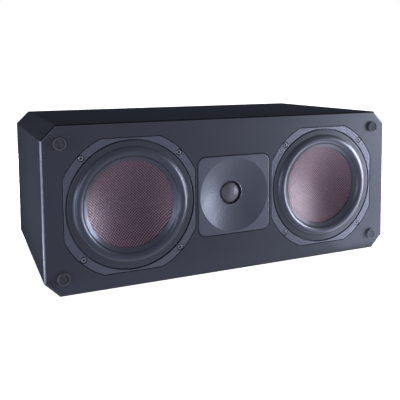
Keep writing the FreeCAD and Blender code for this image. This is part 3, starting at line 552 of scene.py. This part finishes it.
def spider_outline():
    """Corrugated cloth disc, glued to the basket's shelf and to the coil former."""
    pitch = (SHELF_IN - SPIDER_IN) / (2 * SPIDER_WAVES)

    def waves(s):
        run = []
        for k in range(2 * SPIDER_WAVES):
            swing = SPIDER_SWING if k % 2 else -SPIDER_SWING
            start, middle, end = (SPIDER_IN + (k + part) * pitch for part in (0, 0.5, 1))
            run += arc((start, s), (middle, s + swing), (end, s), WAVE_STEPS)[:-1]
        return run + [(SHELF_IN, s), (SPIDER_RIM, s)]

    return waves(SPIDER_S) + waves(SPIDER_S - SPIDER_T)[::-1]


def tweeter_roll_outline():
    """Thin roll between the dome and its carrier ring; the glue closes the gap to the dome."""
    middle = (TWEETER_IN + THROAT_R) / 2
    crown, lower = DOME_S - TWEETER_ROLL, DOME_S + TWEETER_ROLL_T
    front = arc((TWEETER_IN, DOME_S), (middle, crown), (THROAT_R, DOME_S), TWEETER_STEPS)
    back = arc((THROAT_R, lower), (middle, lower - TWEETER_ROLL), (TWEETER_IN, lower), TWEETER_STEPS)
    carrier = [(THROAT_R, CARRIER_S), (CARRIER_R, CARRIER_S), (CARRIER_R, CARRIER_BACK),
               (THROAT_R, CARRIER_BACK)]
    return front + carrier + back


def suspend(obj, slot, node):
    """A suspension part in place of its node, with its transform baked in and its finish."""
    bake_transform(obj)
    radial_weights(obj)
    obj.data.materials.append(MATERIALS[slot])
    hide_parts(node)


for side, x in WOOFERS:
    body = f"woofer_{side}_diaphragm"
    roll = lathe(f"woofer_{side}_roll_surround", surround_outline(), x, ROLL_TURN)
    suspend(roll, "suspension_rubber", f"woofer_{side}_surround")
    refinish(roll.data, RIM_RUBBER, lambda face: from_axis(face.center, x) > ROLL_OUT)
    disc = lathe(f"woofer_{side}_corrugated_spider", spider_outline(), x, SPIDER_TURN)
    suspend(disc, "spider_cloth", f"woofer_{side}_spider")
    cloth = woven_dish(f"woofer_{side}_woven_cone", x)
    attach(cloth, body)
    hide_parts(f"woofer_{side}_cone")
roll = lathe("tweeter_roll_surround", tweeter_roll_outline(), 0.0, TWEETER_TURN)
suspend(roll, "suspension_rubber",
        "tweeter_surround")
roll.data.materials[0] = TWEETER_RUBBER

# Camera, fitted to the cabinet's corners; the image's sizes are in pixels
IMAGE, FOCAL, MIDDLE_X, MIDDLE_Y = 400, 581.06, 220.0, 125.35
EYE = Vector((-0.31462, -0.78017, 0.2514))
camera = bpy.data.objects.new("camera", bpy.data.cameras.new("camera"))
bpy.context.scene.collection.objects.link(camera)
right = Vector((0.910711, -0.412982, -0.007081)).normalized()
ahead = Vector((0.410679, 0.907197, -0.091299)).normalized()
above = right.cross(ahead).normalized()
right = ahead.cross(above)
camera.matrix_world = Matrix.LocRotScale(EYE, Matrix((right, above, -ahead)).transposed(), None)
camera.data.lens = FOCAL / IMAGE * camera.data.sensor_width
camera.data.shift_x = (IMAGE / 2 - MIDDLE_X) / IMAGE
camera.data.shift_y = (MIDDLE_Y - IMAGE / 2) / IMAGE
bpy.context.scene.camera = camera

# Satin floor: white to the camera, pale in the light, and it mirrors the lamps a little
FLOOR_SIZE, FLOOR_Z, FLOOR_GLOW = 30, -0.0005, 0.85
bpy.ops.mesh.primitive_plane_add(size=FLOOR_SIZE, location=(0, 0, FLOOR_Z))
floor = bpy.context.object
floor.name = "floor"
ground = Shader("floor", (0.9, 0.9, 0.9), 0.08, Specular_IOR_Level=0.5)
ground.colour(ground.mix(ground.noise(3.0), (0.88, 0.88, 0.88), (0.92, 0.92, 0.92)))
ground.bsdf.inputs["Emission Color"].default_value = (1, 1, 1, 1)
ground.link(ground.maths("MULTIPLY", direct_rays(ground.tree), FLOOR_GLOW),
            ground.bsdf.inputs["Emission Strength"])
floor.data.materials.append(ground.material)

# Lights
SOFTBOX_AWAY, SOFTBOX_AIM = 1.3, Vector((0, 0, 0.1))
CARD_Z, CARD_LEAN = 0.001, 0.001


def area(name, place, target, width, height, radiance):
    light = bpy.data.lights.new(name, "AREA")
    light.shape = "RECTANGLE"
    light.size, light.size_y = width, height
    light.energy = radiance * math.pi * width * height
    made = bpy.data.objects.new(name, light)
    bpy.context.scene.collection.objects.link(made)
    made.location = place
    made.rotation_mode = "QUATERNION"
    made.rotation_quaternion = (Vector(target) - Vector(place)).to_track_quat("-Z", "Y")


def panel(name, azimuth, elevation, width, height, radiance):
    """A softbox at an angle from straight ahead of the front, to the right, in degrees."""
    a, e = math.radians(azimuth), math.radians(elevation)
    towards = Vector((math.sin(a) * math.cos(e), -math.cos(a) * math.cos(e), math.sin(e)))
    area(name, SOFTBOX_AIM + SOFTBOX_AWAY * towards, SOFTBOX_AIM, width, height, radiance)


def card(name, x, y, width, depth, radiance):
    """A bright card on the floor; its aim leans a little, which settles how it lies."""
    area(name, (x, y, CARD_Z), (x, y - CARD_LEAN, 1 + CARD_Z), width, depth, radiance)


# Place and aim, angles, or place on the floor; then width, height and radiance
area("key", (0.79, -0.45, 0.17), (0.05, -0.1, 0.1), 0.18, 0.33, 51.0)
panel("side_right", 85, 9, 0.22, 0.55, 48.0)
panel("low_right", 42, 0, 0.34, 0.18, 5.0)
panel("fill_left", -45, 8, 0.07, 0.7, 28.0)
panel("edge_left", -75, 5, 0.16, 0.4, 29.0)
card("card_left", -0.47, -0.04, 0.35, 0.3, 3.9)
card("card_right", 0.27, -0.195, 0.2, 0.11, 4.0)
card("card_front", -0.01, -0.149, 0.42, 0.033, 0.7)
area("back_top", (0.2, 1.2, 1.4), (0.0, 0.05, 0.1), 0.8, 0.8, 8.0)
area("back_panel", (0.15, 1.2, 0.1), (0.15, 0.0, 0.1), 1.6, 0.19, 4.0)

# Background: white where it is seen, dim as a light
SEEN, AS_LIGHT = 1.0, 0.13
world = bpy.data.worlds.new("studio")
bpy.context.scene.world = world
world.use_nodes = True
tree = world.node_tree
background = tree.nodes["Background"]
background.inputs["Color"].default_value = (1, 1, 1, 1)
strength = tree.nodes.new("ShaderNodeMapRange")
strength.inputs["To Min"].default_value = AS_LIGHT
strength.inputs["To Max"].default_value = SEEN
tree.links.new(direct_rays(tree), strength.inputs["Value"])
tree.links.new(strength.outputs["Result"], background.inputs["Strength"])

bpy.context.scene.view_settings.view_transform = "Standard"
